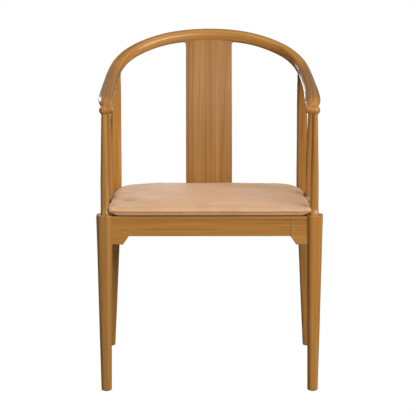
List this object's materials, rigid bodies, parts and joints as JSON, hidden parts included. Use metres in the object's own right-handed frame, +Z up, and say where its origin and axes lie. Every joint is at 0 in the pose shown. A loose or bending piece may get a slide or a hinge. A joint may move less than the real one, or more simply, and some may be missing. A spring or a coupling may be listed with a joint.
{
  "type": "horseshoe back armchair",
  "caption": "Wooden armchair with a horseshoe back and arm rail, a wide upright back splat, thin side posts, bracketed seat rails, tapered legs and a loose leather seat cushion.",
  "frame": {"origin": "on the floor, in the middle of the bounding box of the chair", "axes": "+Z up, -Y out of the front of the seat, +X to the right as seen from the front"},
  "size_m": [0.5506, 0.5328, 0.8341],
  "materials": {
    "wood": "clear satin lacquer",
    "plywood": "sanded, unfinished",
    "block_wood": "sanded, unfinished",
    "leather": "smooth, slight sheen",
    "strap_leather": "smooth",
    "foam": "open cell foam, matt",
    "screw_steel": "zinc plated",
    "stud_metal": "polished nickel",
    "glide_plastic": "matt"
  },
  "bodies": {
    "frame": {"crest_rail": "wood", "right_arm": "wood", "left_arm": "wood", "back_splat": "wood", "right_front_leg": "wood", "left_front_leg": "wood", "right_rear_leg": "wood", "left_rear_leg": "wood", "right_mid_post": "wood", "left_mid_post": "wood", "front_rail": "wood", "rear_rail": "wood", "right_side_rail": "wood", "left_side_rail": "wood", "right_front_bracket": "wood", "left_front_bracket": "wood", "right_side_front_bracket": "wood", "left_side_front_bracket": "wood", "right_side_rear_bracket": "wood", "left_side_rear_bracket": "wood", "right_rear_bracket": "wood", "left_rear_bracket": "wood", "seat_panel": "plywood", "right_front_block": "block_wood", "left_front_block": "block_wood", "right_rear_block": "block_wood", "left_rear_block": "block_wood", "block_screws": "screw_steel", "panel_screws": "screw_steel", "foot_glides": "glide_plastic"},
    "cushion": {"cushion_cover": "leather", "cushion_core": "foam", "right_strap": "strap_leather", "left_strap": "strap_leather", "strap_studs": "stud_metal"}
  },
  "joints": [
    {"name": "cushion_lift", "type": "slide", "parent": "frame", "child": "cushion", "axis": [0, 0, 1], "range_m": [0, 0.06]}
  ]
}
